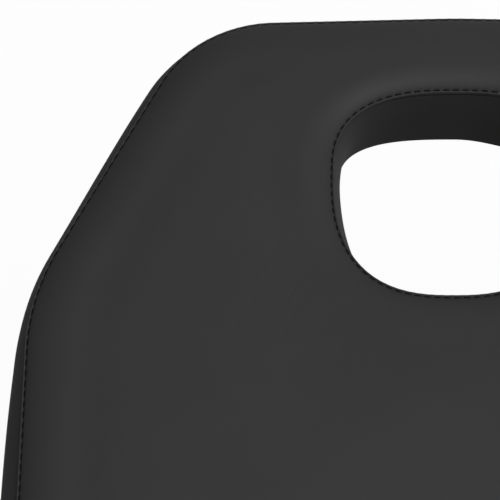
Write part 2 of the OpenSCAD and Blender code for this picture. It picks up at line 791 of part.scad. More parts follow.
// Backrest frame
back_rail_from = back_cross_y + back_tube;
back_rail_inset = 12;
back_head_y = head_seam_y - board_inset - back_rail_inset;
back_bolt_shares = [0.09, 0.6, 0.93];
back_bolt_ys = [for (s = back_bolt_shares) back_rail_from + s * (back_head_y - back_rail_from)];
module back_rail(side) {
    color("silver")
        difference() {
            translate([side * back_rail_x, 0, back_tube_z + back_tube / 2])
                tube_y(back_tube, back_tube, tube_wall, back_rail_from, back_head_y);
            for (y = back_bolt_ys)
                translate([side * back_rail_x, y, back_tube_z - cut])
                    cylinder(d = pad_bolt_d + bolt_play, h = back_tube + 2 * cut);
            translate([0, axis_y + prop_pivot.x, axis_z + prop_pivot.y])
                rod_x(bolt_d + 2 * snug, side * back_rail_x - back_tube, side * back_rail_x + back_tube);
        }
}
module back_cross_hinge() {
    color("silver")
        translate([0, back_cross_y + back_tube / 2, back_tube_z + back_tube / 2])
            tube_x(back_tube, back_tube, tube_wall, -back_cross_reach, back_cross_reach);
}
module back_cross_head() {
    reach = back_rail_x - back_tube / 2;
    color("silver")
        translate([0, back_head_y - back_tube / 2, back_tube_z + back_tube / 2])
            tube_x(back_tube, back_tube, tube_wall, -reach, reach);
}
module back_cap_piece() {
    plug = back_tube - 2 * tube_wall - 2 * fit;
    block([-back_tube / 2, back_tube / 2], [0, back_cap], [-back_tube / 2, back_tube / 2]);
    block([-plug / 2, plug / 2], [-back_tube / 2, 0], [-plug / 2, plug / 2]);
}
module back_end_caps() {
    color("#1d1d1d")
        both_sides()
            translate([0, 0, back_tube_z + back_tube / 2]) {
                translate([back_rail_x, back_head_y, 0])
                    back_cap_piece();
                translate([back_cross_reach, back_cross_y + back_tube / 2, 0])
                    rotate([0, 0, -90])
                        back_cap_piece();
            }
}
// Rubber pads on the side rails: bolted spacers under the seat, stops under the backrest
module rubber_pads() {
    color("#222222")
        for (side = [-1, 1])
            translate([side * rail_x, 0, rail_top]) {
                for (y = seat_bolt_ys)
                    translate([0, y, 0])
                        difference() {
                            cylinder(d = bumper_d, h = pad_gap);
                            translate([0, 0, -cut])
                                cylinder(d = pad_bolt_d + bolt_play, h = pad_gap + 2 * cut);
                        }
                for (y = bumper_ys)
                    translate([0, y, 0])
                        cylinder(d = bumper_d, h = pad_gap - fit);
            }
}

// Pads
insert_wall = 2;
insert_d = pad_bolt_d + 2 * insert_wall;
bolt_in = 3;
module pad_board(points, xs, ys) {
    difference() {
        plate(points, board_inset + fit, board_z, board_th);
        for (x = [-xs, xs], y = ys)
            translate([x, y, board_z - cut])
                cylinder(d = insert_d + 2 * snug, h = board_th + 2 * cut);
        children();
    }
}
module pad_dust_cover(points, xs, ys) {
    difference() {
        plate(points, board_inset + hem_w + thin, pad_z, hem_th);
        for (x = [-xs, xs], y = ys)
            translate([x, y, pad_z - cut])
                cylinder(d = pad_bolt_d + bolt_play, h = hem_th + 2 * cut);
        children();
    }
}
module pad_fixings(x, ys, head_z) {
    for (side = [-1, 1], y = ys)
        translate([side * x, y, 0]) {
            translate([0, 0, head_z])
                cylinder(d = pad_bolt_d, h = foam_z - bolt_in - head_z);
            translate([0, 0, head_z - pad_head])
                cylinder(d = pad_bolt_d * 2, h = pad_head);
            difference() {
                translate([0, 0, board_z])
                    cylinder(d = insert_d, h = board_th - fit);
                translate([0, 0, board_z - cut])
                    cylinder(d = pad_bolt_d, h = board_th + 2 * cut);
            }
        }
}
module hole_prism(inset, z, th) {
    translate([0, 0, z - cut])
        linear_extrude(height = th + 2 * cut)
            polygon([for (p = hole_outline) [p.x + p[2] * inset, p.y + p[3] * inset]]);
}
module seat_board() {
    color("#c9a26b")
        pad_board(seat_outline, rail_x, seat_bolt_ys);
}
module seat_foam() {
    color("#e8d9a8")
        plate(seat_outline, board_inset + fit, foam_z, foam_top - foam_z - fit);
}
module seat_cover() {
    color("#373737")
        skin(outer_rings(seat_outline, gap_bulge, end_bulge), false);
}
module seat_dust_cover() {
    color("#2a2a2a")
        pad_dust_cover(seat_outline, rail_x, seat_bolt_ys);
}
module seat_fixings() {
    color("#b8b8b8")
        pad_fixings(rail_x, seat_bolt_ys, rail_z);
}
module back_board() {
    color("#c9a26b")
        pad_board(back_outline, back_rail_x, back_bolt_ys)
            hole_prism(board_inset + fit, board_z, board_th);
}
module back_foam() {
    color("#e8d9a8")
        difference() {
            plate(back_outline, board_inset + fit, foam_z, foam_top - foam_z - fit);
            hole_prism(board_inset + fit, foam_z, foam_top - foam_z);
        }
}
module back_cover() {
    color("#373737")
        skin(concat(outer_rings(back_outline, end_bulge, gap_bulge), hole_rings(hole_outline)), true);
}
module back_dust_cover() {
    color("#2a2a2a")
        pad_dust_cover(back_outline, back_rail_x, back_bolt_ys)
            hole_prism(board_inset + hem_w + thin, pad_z, hem_th);
}
module back_fixings() {
    color("#b8b8b8")
        pad_fixings(back_rail_x, back_bolt_ys, back_tube_z);
}

at_leg(1, -1) outer_leg_piece();  // outer_leg_head_left
at_leg(1, 1) outer_leg_piece();  // outer_leg_head_right
at_leg(-1, -1) outer_leg_piece();  // outer_leg_foot_left
at_leg(-1, 1) outer_leg_piece();  // outer_leg_foot_right
rubber_feet();
guide_bushes();
lower_rail_head();
lower_rail_foot();
stretcher();
stretcher_bolts();
pin_housings();
pin_springs();
at_leg(1, -1) inner_leg_piece();  // inner_leg_head_left
at_leg(1, 1) inner_leg_piece();  // inner_leg_head_right
at_leg(-1, -1) inner_leg_piece();  // inner_leg_foot_left
at_leg(-1, 1) inner_leg_piece();  // inner_leg_foot_right
leg_plates();
side_rail(-1);  // side_rail_left
side_rail(1);  // side_rail_right
cross_rail(-rail_foot_y + cross_s);  // cross_rail_foot
cross_rail((axis_y - rail_foot_y) / 2);  // cross_rail_middle
cross_rail(axis_y - cross_s / 2);  // cross_rail_hinge
cross_rail(rack_near_y);  // cross_rail_rack_near
cross_rail(rack_far_y);  // cross_rail_rack_far
rail_end_caps();
hinge_ears();
hinge_bolts();
rack(-1);  // rack_left
rack(1);  // rack_right
rubber_pads();
seat_board();
seat_foam();
seat_cover();
seat_dust_cover();
seat_fixings();
back_rail(-1);  // back_rail_left
back_rail(1);  // back_rail_right
back_cross_hinge();
back_cross_head();
back_end_caps();
hinge_brackets();
hinge_bushes();
back_board();
back_foam();
back_cover();
back_dust_cover();
back_fixings();
prop_bolts();
prop_arm(-1);  // prop_arm_left
prop_arm(1);  // prop_arm_right
prop_bar();
prop_sleeves();
locking_pin(1, -1);  // locking_pin_head_left
locking_pin(1, 1);  // locking_pin_head_right
locking_pin(-1, -1);  // locking_pin_foot_left
locking_pin(-1, 1);  // locking_pin_foot_right
pin_knob(1, -1);  // pin_knob_head_left
pin_knob(1, 1);  // pin_knob_head_right
pin_knob(-1, -1);  // pin_knob_foot_left
pin_knob(-1, 1);  // pin_knob_foot_right
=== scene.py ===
# %% [markdown]
# A massage table for a salon: two padded sections in charcoal faux leather on a silver steel frame.
# The frame, legs, hinge and prop are loaded as finished parts. This script dresses them: it models
# the sewn covers, the seams and the stitches, and gives every part the finish of its real material.

# %% Load the frame
import json
import math

import bmesh
import bpy
from mathutils import Matrix, Vector
from mathutils.bvhtree import BVHTree
from mathutils.kdtree import KDTree


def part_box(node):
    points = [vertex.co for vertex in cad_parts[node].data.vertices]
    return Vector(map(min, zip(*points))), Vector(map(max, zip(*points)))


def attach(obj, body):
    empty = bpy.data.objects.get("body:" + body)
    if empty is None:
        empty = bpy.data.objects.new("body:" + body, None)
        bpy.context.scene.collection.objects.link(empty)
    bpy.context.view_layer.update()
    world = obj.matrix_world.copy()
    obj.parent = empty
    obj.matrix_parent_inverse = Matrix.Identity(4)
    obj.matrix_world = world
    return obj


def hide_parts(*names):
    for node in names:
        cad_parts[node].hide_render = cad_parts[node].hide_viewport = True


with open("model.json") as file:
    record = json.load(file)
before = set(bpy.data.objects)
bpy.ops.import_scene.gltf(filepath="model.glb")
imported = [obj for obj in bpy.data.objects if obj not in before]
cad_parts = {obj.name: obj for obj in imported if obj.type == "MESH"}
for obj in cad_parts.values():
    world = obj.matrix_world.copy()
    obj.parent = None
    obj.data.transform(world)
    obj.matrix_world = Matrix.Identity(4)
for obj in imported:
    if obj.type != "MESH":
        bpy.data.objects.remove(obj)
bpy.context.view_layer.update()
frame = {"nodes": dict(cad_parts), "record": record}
nodes = frame["nodes"]
MM = 0.001

# %% [markdown]
# The camera comes first, because every later choice is judged through it. The photograph is a close
# view of the head end, taken from above and from far away, so the lens is long. The centre line of the
# table stands right of the picture's middle, so the camera stays over that line and turns to the left.

# %% Camera
PICTURE = 500
CENTRE_LINE_X = 454
FOCAL_PX = 4411
SENSOR_MM = 36
LOOK_DOWN = math.radians(61)
CAMERA_AT = Vector((0, -0.7566, 3.2641))


def make_camera():
    turn = math.atan((CENTRE_LINE_X - PICTURE / 2) / FOCAL_PX)
    ahead = Vector((0, math.cos(LOOK_DOWN), -math.sin(LOOK_DOWN)))
    up = Vector((0, math.sin(LOOK_DOWN), math.cos(LOOK_DOWN)))
    side = Vector((1, 0, 0))
    look = ahead * math.cos(turn) - side * math.sin(turn)
    right = side * math.cos(turn) + ahead * math.sin(turn)
    data = bpy.data.cameras.new("camera")
    data.sensor_width = SENSOR_MM
    data.lens = SENSOR_MM * FOCAL_PX / PICTURE
    camera = bpy.data.objects.new("camera", data)
    axes = Matrix((right, up, -look)).transposed()
    camera.matrix_world = Matrix.Translation(CAMERA_AT) @ axes.to_4x4()
    bpy.context.scene.collection.objects.link(camera)
    bpy.context.scene.camera = camera
    return camera


camera = make_camera()
print("camera: lens", round(camera.data.lens, 1), "mm")

# %% [markdown]
# Colours are written as the sRGB hex values that a screen shows. Shaders work in linear light, so one
# function turns them. One more function adds a shader node with its settings and its links.

# %% Colour and node helpers


def linear(hex_colour):
    values = [int(hex_colour[i:i + 2], 16) / 255 for i in (1, 3, 5)]
    out = [v / 12.92 if v <= 0.04045 else ((v + 0.055) / 1.055) ** 2.4 for v in values]
    return (*out, 1.0)


def add_node(tree, kind, settings=None, inputs=None):
    node = tree.nodes.new(kind)
    for name, value in (settings or {}).items():
        setattr(node, name, value)
    for name, value in (inputs or {}).items():
        socket = node.inputs[name]
        if isinstance(value, bpy.types.NodeSocket):
            tree.links.new(value, socket)
        else:
            socket.default_value = value
    return node


def start_material(name):
    material = bpy.data.materials.new(name)
    material.use_nodes = True
    tree = material.node_tree
    tree.nodes.clear()
    out = add_node(tree, "ShaderNodeOutputMaterial")
    place = add_node(tree, "ShaderNodeTexCoord").outputs["Object"]
    return material, tree, out, place


# %% [markdown]
# The background is plain white, so the floor glows white to the camera and keeps a faint shadow. The
# light that the floor throws back up is weaker than that, because a dark room lies round a white
# sweep, and the sides of the pad would go pale in it. One large soft box hangs over the table, a little
# to the right: flat tops face it, and slopes turn away from it and go darker. Three small boxes stand
# low and far away, so that the legs and rails under the pads aren't left in the dark.

# %% Floor, sky and lamp
FLOOR_SIZE = 14
GLOW_SEEN = 0.95
GLOW_MIRRORED = 0.15
SKY_LIGHT = 0.12
SKY_MIRRORED = 0.3
LAMP_POWER = 159
LAMP_SIZE = 2.6
LAMP_AT = Vector((1.2, -0.25, 3.85))
FILL_SIZE = 0.9
# The low fills, which light the frame: (place, power)
FILLS = [((2.2, -4.6, 0.5), 48), ((2.2, 4.8, 0.35), 44), ((-3.6, -3.4, 0.4), 36)]
TABLE_MIDDLE = Vector((0, 0.3, 0.6))
UNDER_MIDDLE = Vector((0, 0, 0.3))


def ray_share(tree, seen, mirrored):
    path = add_node(tree, "ShaderNodeLightPath").outputs
    first = add_node(tree, "ShaderNodeMath", {"operation": "MAXIMUM"},
                     {0: path["Is Camera Ray"], 1: path["Is Transmission Ray"]})
    direct = add_node(tree, "ShaderNodeMath", {"operation": "MULTIPLY"}, {0: first.outputs[0], 1: seen})
    mirror = add_node(tree, "ShaderNodeMath", {"operation": "MULTIPLY"},
                      {0: path["Is Glossy Ray"], 1: mirrored})
    both = add_node(tree, "ShaderNodeMath", {"operation": "MAXIMUM"},
                    {0: direct.outputs[0], 1: mirror.outputs[0]})
    return both.outputs[0]


def make_floor():
    bm = bmesh.new()
    bmesh.ops.create_grid(bm, x_segments=1, y_segments=1, size=FLOOR_SIZE / 2)
    mesh = bpy.data.meshes.new("floor")
    bm.to_mesh(mesh)
    bm.free()
    floor = bpy.data.objects.new("floor", mesh)
    bpy.context.scene.collection.objects.link(floor)
    material, tree, out, _ = start_material("white_paper_floor")
    share = ray_share(tree, GLOW_SEEN, GLOW_MIRRORED)
    seen = add_node(tree, "ShaderNodeLightPath").outputs["Is Camera Ray"]
    tint = add_node(tree, "ShaderNodeMix", {"data_type": "RGBA"},
                    {0: seen, 6: linear("#a0a0a0"), 7: linear("#f6f6f6")})
    paper = add_node(tree, "ShaderNodeBsdfDiffuse", inputs={"Color": tint.outputs[2]})
    glow = add_node(tree, "ShaderNodeEmission", inputs={"Color": (1, 1, 1, 1), "Strength": 1.0})
    mix = add_node(tree, "ShaderNodeMixShader", None, {0: share, 1: paper.outputs[0], 2: glow.outputs[0]})
    tree.links.new(mix.outputs[0], out.inputs["Surface"])
    floor.data.materials.append(material)


def make_sky():
    world = bpy.data.worlds.new("pale_sky")
    bpy.context.scene.world = world
    world.use_nodes = True
    tree = world.node_tree
    tree.nodes.clear()
    out = add_node(tree, "ShaderNodeOutputWorld")
    light = add_node(tree, "ShaderNodeBackground", None, {"Color": (1, 1, 1, 1), "Strength": SKY_LIGHT})
    white = add_node(tree, "ShaderNodeBackground", None, {"Color": (1, 1, 1, 1), "Strength": 1.0})
    share = ray_share(tree, 1.0, SKY_MIRRORED)
    mix = add_node(tree, "ShaderNodeMixShader", None, {0: share, 1: light.outputs[0], 2: white.outputs[0]})
    tree.links.new(mix.outputs[0], out.inputs["Surface"])


def make_lamp(name, at, target, size, power):
    data = bpy.data.lights.new(name, "AREA")
    data.shape = "SQUARE"
    data.size = size
    data.energy = power
    lamp = bpy.data.objects.new(name, data)
    lamp.location = at
    lamp.rotation_euler = (target - at).to_track_quat("-Z", "Y").to_euler()
    bpy.context.scene.collection.objects.link(lamp)


make_floor()
make_sky()
make_lamp("soft_box", LAMP_AT, TABLE_MIDDLE, LAMP_SIZE, LAMP_POWER)
for i, (place, power) in enumerate(FILLS):
    make_lamp("low_fill_" + "abc"[i], Vector(place), UNDER_MIDDLE, FILL_SIZE, power)
bpy.context.scene.view_settings.view_transform = "Standard"
print("soft box:", LAMP_POWER, "W,", LAMP_SIZE, "m wide")

# %% [markdown]
# Faux leather is PVC pressed against an engraved roller, so its skin has small flat pebbles with fine
# creases between them, about a millimetre apart. They scatter the light into a soft, even sheen, so the
# roughness is near a half. The colour is a plain charcoal.

# %% Faux leather
GRAIN_MM = 1.1
FINE_MM = 0.5
CLOUD_MM = 70


def faux_leather(name, colour, deep_colour, roughness):
    material, tree, out, place = start_material(name)
    grain = add_node(tree, "ShaderNodeTexVoronoi", {"feature": "DISTANCE_TO_EDGE"},
                     {"Vector": place, "Scale": 1 / (GRAIN_MM * MM)})
    fine = add_node(tree, "ShaderNodeTexNoise", None,
                    {"Vector": place, "Scale": 1 / (FINE_MM * MM), "Detail": 3.0})
    cloud = add_node(tree, "ShaderNodeTexNoise", None,
                     {"Vector": place, "Scale": 1 / (CLOUD_MM * MM), "Detail": 4.0, "Roughness": 0.6})
    tint = add_node(tree, "ShaderNodeMix", {"data_type": "RGBA"},
                    {0: cloud.outputs["Fac"], 6: linear(colour), 7: linear(deep_colour)})
    crease = add_node(tree, "ShaderNodeMapRange", None,
                      {"Value": grain.outputs["Distance"], "From Min": 0.0, "From Max": 0.12,
                       "To Min": 0.0, "To Max": 1.0})
    shine = add_node(tree, "ShaderNodeMapRange", None,
                     {"Value": fine.outputs["Fac"], "From Min": 0.3, "From Max": 0.7,
                      "To Min": roughness - 0.04, "To Max": roughness + 0.05})
    bump_grain = add_node(tree, "ShaderNodeBump", None,
                          {"Height": crease.outputs["Result"], "Strength": 0.16, "Distance": 0.12 * MM})
    bump = add_node(tree, "ShaderNodeBump", None,
                    {"Height": fine.outputs["Fac"], "Strength": 0.12, "Distance": 0.1 * MM,
                     "Normal": bump_grain.outputs["Normal"]})
    skin = add_node(tree, "ShaderNodeBsdfPrincipled", None,
                    {"Base Color": tint.outputs[2], "Roughness": shine.outputs["Result"],
                     "Normal": bump.outputs["Normal"], "IOR": 1.5,
                     "Specular IOR Level": 0.1})
    tree.links.new(skin.outputs[0], out.inputs["Surface"])
    return material


vinyl = faux_leather("charcoal_faux_leather", "#333333", "#2f2f2f", 0.54)
print("material:", vinyl.name)

# %% [markdown]
# The metal parts have two finishes. Powder coat is baked paint with a faint orange-peel surface.
# Zinc plate is thin metal on steel, bright but slightly cloudy. The rack plates are laser cut and
# then zinc plated too. Plastic parts are moulded with a fine spark grain, and the feet are matt rubber.

# %% Metals, plastics, rubber, wood and cloth
PEEL_MM = 1.6
DUST_MM = 90
SPARK_MM = 0.35
# Plywood's streaks: 250 mm long and 33 mm wide, in plies 1.4 mm thick
PLY_SCALE = (4.0, 30.0, 700.0)


def powder_coat(name, colour, roughness):
    material, tree, out, place = start_material(name)
    peel = add_node(tree, "ShaderNodeTexNoise", None,
                    {"Vector": place, "Scale": 1 / (PEEL_MM * MM), "Detail": 2.0})
    dust = add_node(tree, "ShaderNodeTexNoise", None,
                    {"Vector": place, "Scale": 1 / (DUST_MM * MM), "Detail": 5.0})
    bevel = add_node(tree, "ShaderNodeBevel", {"samples": 4}, {"Radius": 1.2 * MM})
    bump = add_node(tree, "ShaderNodeBump", None,
                    {"Height": peel.outputs["Fac"], "Strength": 0.12, "Distance": 0.15 * MM,
                     "Normal": bevel.outputs["Normal"]})
    base = linear(colour)
    worn = tuple(c * 0.9 for c in base[:3]) + (1.0,)
    tint = add_node(tree, "ShaderNodeMix", {"data_type": "RGBA"},
                    {0: dust.outputs["Fac"], 6: base, 7: worn})
    paint = add_node(tree, "ShaderNodeBsdfPrincipled", None,
                     {"Base Color": tint.outputs[2], "Roughness": roughness, "IOR": 1.5,
                      "Normal": bump.outputs["Normal"]})
    tree.links.new(paint.outputs[0], out.inputs["Surface"])
    return material


def bright_metal(name, colour, roughness, brushed_mm):
    material, tree, out, place = start_material(name)
    cloud = add_node(tree, "ShaderNodeTexNoise", None,
                     {"Vector": place, "Scale": 1 / (brushed_mm * MM), "Detail": 4.0})
    shine = add_node(tree, "ShaderNodeMapRange", None,
                     {"Value": cloud.outputs["Fac"], "From Min": 0.3, "From Max": 0.7,
                      "To Min": roughness - 0.08, "To Max": roughness + 0.1})
    bevel = add_node(tree, "ShaderNodeBevel", {"samples": 4}, {"Radius": 0.5 * MM})
    metal = add_node(tree, "ShaderNodeBsdfPrincipled", None,
                     {"Base Color": linear(colour), "Metallic": 1.0, "Roughness": shine.outputs["Result"],
                      "Normal": bevel.outputs["Normal"]})
    tree.links.new(metal.outputs[0], out.inputs["Surface"])
    return material


def moulded(name, colour, roughness, grain_mm, strength):
    material, tree, out, place = start_material(name)
    grain = add_node(tree, "ShaderNodeTexNoise", None,
                     {"Vector": place, "Scale": 1 / (grain_mm * MM), "Detail": 2.0})
    bevel = add_node(tree, "ShaderNodeBevel", {"samples": 4}, {"Radius": 1.0 * MM})
    bump = add_node(tree, "ShaderNodeBump", None,
                    {"Height": grain.outputs["Fac"], "Strength": strength, "Distance": 0.1 * MM,
                     "Normal": bevel.outputs["Normal"]})
    shine = add_node(tree, "ShaderNodeMapRange", None,
                     {"Value": grain.outputs["Fac"], "From Min": 0.3, "From Max": 0.7,
                      "To Min": roughness - 0.05, "To Max": roughness + 0.05})
    body = add_node(tree, "ShaderNodeBsdfPrincipled", None,
                    {"Base Color": linear(colour), "Roughness": shine.outputs["Result"],
                     "Normal": bump.outputs["Normal"]})
    tree.links.new(body.outputs[0], out.inputs["Surface"])
    return material


def birch_plywood(name):
    material, tree, out, place = start_material(name)
    plies = add_node(tree, "ShaderNodeMapping", None, {"Vector": place, "Scale": PLY_SCALE})
    bands = add_node(tree, "ShaderNodeTexNoise", None,
                     {"Vector": plies.outputs[0], "Scale": 1.0, "Detail": 6.0, "Distortion": 0.4})
    ramp = add_node(tree, "ShaderNodeValToRGB", None, {"Fac": bands.outputs["Fac"]})
    ramp.color_ramp.elements[0].color = linear("#a8814f")
    ramp.color_ramp.elements[0].position = 0.35
    ramp.color_ramp.elements[1].color = linear("#d3b183")
    ramp.color_ramp.elements[1].position = 0.65
    wood = add_node(tree, "ShaderNodeBsdfPrincipled", None,
                    {"Base Color": ramp.outputs["Color"], "Roughness": 0.6})
    tree.links.new(wood.outputs[0], out.inputs["Surface"])
    return material


def spun_cloth(name, colour, fibre_mm=1.4, gloss=0.3):
    material, tree, out, place = start_material(name)
    fibre = add_node(tree, "ShaderNodeTexVoronoi", None, {"Vector": place, "Scale": 1 / (fibre_mm * MM)})
    light = tuple(min(1.0, c * 1.7 + 0.004) for c in linear(colour)[:3]) + (1.0,)
    tint = add_node(tree, "ShaderNodeMix", {"data_type": "RGBA"},
                    {0: fibre.outputs["Distance"], 6: linear(colour), 7: light})
    bump = add_node(tree, "ShaderNodeBump", None,
                    {"Height": fibre.outputs["Distance"], "Strength": 0.3, "Distance": 0.2 * MM})
    cloth = add_node(tree, "ShaderNodeBsdfPrincipled", None,
                     {"Base Color": tint.outputs[2], "Roughness": 0.9, "Specular IOR Level": gloss,
                      "Normal": bump.outputs["Normal"]})
    tree.links.new(cloth.outputs[0], out.inputs["Surface"])
    return material


thread_finish = spun_cloth("black_polyester_thread", "#0f0f0e", 0.3, 0.0)
slot_finish = {
    "frame_paint": powder_coat("silver_powder_coat", "#b9bbbd", 0.42),
    "zinc_steel": bright_metal("bright_zinc_plate", "#c3c3bf", 0.34, 9),
    "black_plastic": moulded("black_polypropylene", "#1b1b1c", 0.48, SPARK_MM, 0.3),
    "white_nylon": moulded("turned_nylon", "#e6e3da", 0.4, SPARK_MM, 0.1),
    "black_rubber": moulded("moulded_rubber", "#1a1a1a", 0.72, 0.6, 0.4),
    "vinyl": vinyl,
    "plywood": birch_plywood("birch_plywood"),
    "foam": spun_cloth("upholstery_foam", "#e0d3a2"),
    "dust_fabric": spun_cloth("spunbond_dust_cover", "#202020"),
}
for part in frame["record"]["subparts"]:
    mesh = nodes[part["node"]].data
    mesh.materials.clear()
    mesh.materials.append(slot_finish[part["material_slot"]])

# %% [markdown]
# A cover is sewn from a top panel, a boxing strip round the side and, at the face hole, a lining.
# The panels meet in a seam. The outline of that seam is made of straight lines and arcs, so a corner
# list with radii describes it, and points are spaced evenly along it.

# %% Seam outlines
seat_low, seat_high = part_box("seat_cover")
back_low, back_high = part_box("back_cover")
SIDE_BULGE = 15 * MM
END_BULGE = 8 * MM
GAP_BULGE = 3 * MM
CORNER_R = 60 * MM
SLANT_LENGTH = 225 * MM
HEAD_WIDTH = 369 * MM
SHOULDER_R = 178 * MM
TEMPLE_R = 92 * MM
HEAD_BOW = 4.6 * MM
BOW_R = 500 * MM
POINTS = 480
seam_x = back_high.x - SIDE_BULGE
head_y = back_high.y - END_BULGE
top_z = back_high.z
under_z = back_low.z


def ease(t):
    t = min(1, max(0, t))
    return t * t * (3 - 2 * t)


def arc(before, at, after, radius, step=1.5 * MM):
    a = (before - at).normalized()
    b = (after - at).normalized()
    half = a.angle(b) / 2
    centre = at + (a + b).normalized() * radius / math.sin(half)
    first = at + a * radius / math.tan(half) - centre
    turn = math.pi - 2 * half
    count = max(4, round(radius * turn / step))
    return [centre + Matrix.Rotation(turn * i / count, 2) @ first for i in range(count + 1)]


def even_loop(corners, count):
    places = [Vector(c[0]) for c in corners]
    n = len(places)
    rough = []
    for i in range(n):
        rough += arc(places[i - 1], places[i], places[(i + 1) % n], corners[i][1])
    lengths = [0.0]
    for i in range(len(rough)):
        lengths.append(lengths[-1] + (rough[(i + 1) % len(rough)] - rough[i]).length)
    loop = []
    j = 0
    for i in range(count):
        want = lengths[-1] * i / count
        while lengths[j + 1] < want:
            j += 1
        share = (want - lengths[j]) / (lengths[j + 1] - lengths[j])
        loop.append(rough[j].lerp(rough[(j + 1) % len(rough)], share))
    return loop


def outward(loop, i):
    ahead = loop[(i + 1) % len(loop)] - loop[i - 1]
    return Vector((ahead.y, -ahead.x)).normalized()


back_corners = [
    ((seam_x, back_low.y + GAP_BULGE), CORNER_R),
    ((seam_x, head_y - SLANT_LENGTH), SHOULDER_R),
    ((HEAD_WIDTH / 2, head_y - HEAD_BOW), TEMPLE_R),
    ((0, head_y), BOW_R),
    ((-HEAD_WIDTH / 2, head_y - HEAD_BOW), TEMPLE_R),
    ((-seam_x, head_y - SLANT_LENGTH), SHOULDER_R),
    ((-seam_x, back_low.y + GAP_BULGE), CORNER_R),
]
seat_corners = [
    ((seam_x, seat_low.y + END_BULGE), CORNER_R),
    ((seam_x, seat_high.y - GAP_BULGE), CORNER_R),
    ((-seam_x, seat_high.y - GAP_BULGE), CORNER_R),
    ((-seam_x, seat_low.y + END_BULGE), CORNER_R),
]
back_seam = even_loop(back_corners, POINTS)
seat_seam = even_loop(seat_corners, POINTS)
print("seams:", len(back_seam), "points each")

# %% [markdown]
# The face hole is a rounded D, wider towards the head. Half of a squared ellipse on each side of its
# widest line gives that shape. Its points are spread so that each one faces a point of the outer seam.
# The cutout in the board below is squarer at the head and narrower at the foot, and the vinyl sags a
# little off it at the right. The lining runs from one to the other, so each of its points lies straight
# below the seam as seen from the middle.

# %% Face hole
CROWN_W = 35 * MM
HOLE_FALL_W = 20 * MM
HOLE_FALL_FOOT_W = 34 * MM
HOLE_HALF = 84.2 * MM
HOLE_TO_HEAD = 64 * MM
HOLE_TO_FOOT = 99.2 * MM
HOLE_POWER = 2.6
BOARD_HALF = 82.8 * MM
BOARD_HEADWARD = 28 * MM
BOARD_TO_HEAD = (39.5 * MM, 2.9)
BOARD_TO_FOOT = (127 * MM, 1.97)
LINING_SAG = 8.5 * MM
SAG_W = 60 * MM
EVEN_SHARE = 0.55
HOLE_FROM_HEAD = 129 * MM
ROUNDING = 1e-6
hole_y = head_y - HOLE_FROM_HEAD
board_y = hole_y + BOARD_HEADWARD


def facing_oval(loop):
    first = math.atan2(loop[0].y - hole_y, loop[0].x)
    points = []
    for i, p in enumerate(loop):
        seen = math.atan2(p.y - hole_y, p.x)
        if seen < first - ROUNDING:
            seen += 2 * math.pi
        even = first + 2 * math.pi * i / len(loop)
        angle = seen + (even - seen) * EVEN_SHARE
        c, s = math.cos(angle), math.sin(angle)
        reach = HOLE_TO_HEAD if s > 0 else HOLE_TO_FOOT
        x = math.copysign(abs(c) ** (2 / HOLE_POWER), c) * HOLE_HALF
        points.append(Vector((x, hole_y + math.copysign(abs(s) ** (2 / HOLE_POWER), s) * reach)))
    return points


def board_edge(loop):
    points = []
    for p in loop:
        away = p - Vector((0, board_y))
        reach, power = BOARD_TO_HEAD if away.y > 0 else BOARD_TO_FOOT
        size = ((abs(away.x) / BOARD_HALF) ** power + (abs(away.y) / reach) ** power) ** (1 / power)
        edge = away / size
        edge.y -= LINING_SAG * ease(edge.x / SAG_W) * max(0, edge.y / reach)
        points.append(Vector((0, board_y)) + edge)
    return points


hole_seam = facing_oval(back_seam)
hole_board = board_edge(hole_seam)
print("face hole:", round(2 * HOLE_HALF / MM), "x", round((HOLE_TO_HEAD + HOLE_TO_FOOT) / MM), "mm")

# %% [markdown]
# A cover could be a box with a bevel, but then its edge would be the same all round. Here it is drawn
# as a tailor sees it, in rings: the seam, the fall of the top panel inside it and the bulge of the
# boxing below it. Each ring is extruded from the last one and moved to its place. A number stored on
# every point says which seam point it belongs to. The form is closed at the end: as a tube, whose last
# ring is bridged to its first, or with a cap on both.

# %% Ring helper


def ring_mesh(rings, closed):
    bm = bmesh.new()
    tag = bm.verts.layers.int.new("seam_point")
    bmesh.ops.create_circle(bm, segments=len(rings[0]), radius=1)
    first_edges = list(bm.edges)
    for i, v in enumerate(bm.verts):
        v[tag] = i
        v.co = rings[0][i]
    edges = first_edges
    for ring in rings[1:]:
        made = bmesh.ops.extrude_edge_only(bm, edges=edges)["geom"]
        for v in [v for v in made if isinstance(v, bmesh.types.BMVert)]:
            v.co = ring[v[tag]]
        edges = [e for e in made if isinstance(e, bmesh.types.BMEdge)]
    if closed == "tube":
        bmesh.ops.bridge_loops(bm, edges=first_edges + edges)
    else:
        bmesh.ops.holes_fill(bm, edges=first_edges + edges, sides=0)
    bmesh.ops.recalc_face_normals(bm, faces=bm.faces)
    return bm


def finish_mesh(mesh, name, material, body):
    for face in mesh.polygons:
        face.use_smooth = True
    mesh.materials.append(material)
    piece = bpy.data.objects.new(name, mesh)
    bpy.context.scene.collection.objects.link(piece)
    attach(piece, body)
    return piece


def finish_piece(bm, name, material, body):
    mesh = bpy.data.meshes.new(name)
    bm.to_mesh(mesh)
    bm.free()
    return finish_mesh(mesh, name, material, body)


# %% [markdown]
# The top panel falls away towards the seam like a quarter of a pillow, and the boxing bulges below it,
# most on the long sides and least where the strip is pulled tight round a corner, as a table says.
# At the seam itself the big rings leave a shallow channel. A finer strip of rings fills it later.

# %% Profile of a cover
SEAM_DROP = 15.5 * MM
HOLE_SEAM_DROP = 9 * MM
LINING_BULGE = 2 * MM
CROWN_END = math.radians(68)
PAD_TH = top_z - under_z
WIDEST_DROP = 38 * MM
BOTTOM_SHARE = 0.5
HEM_W = 20 * MM
LINING_HEM_W = 21 * MM
HIDDEN = 5 * MM
CROWN_RINGS = 14
BOX_RINGS = 14
TOP_RINGS = 26
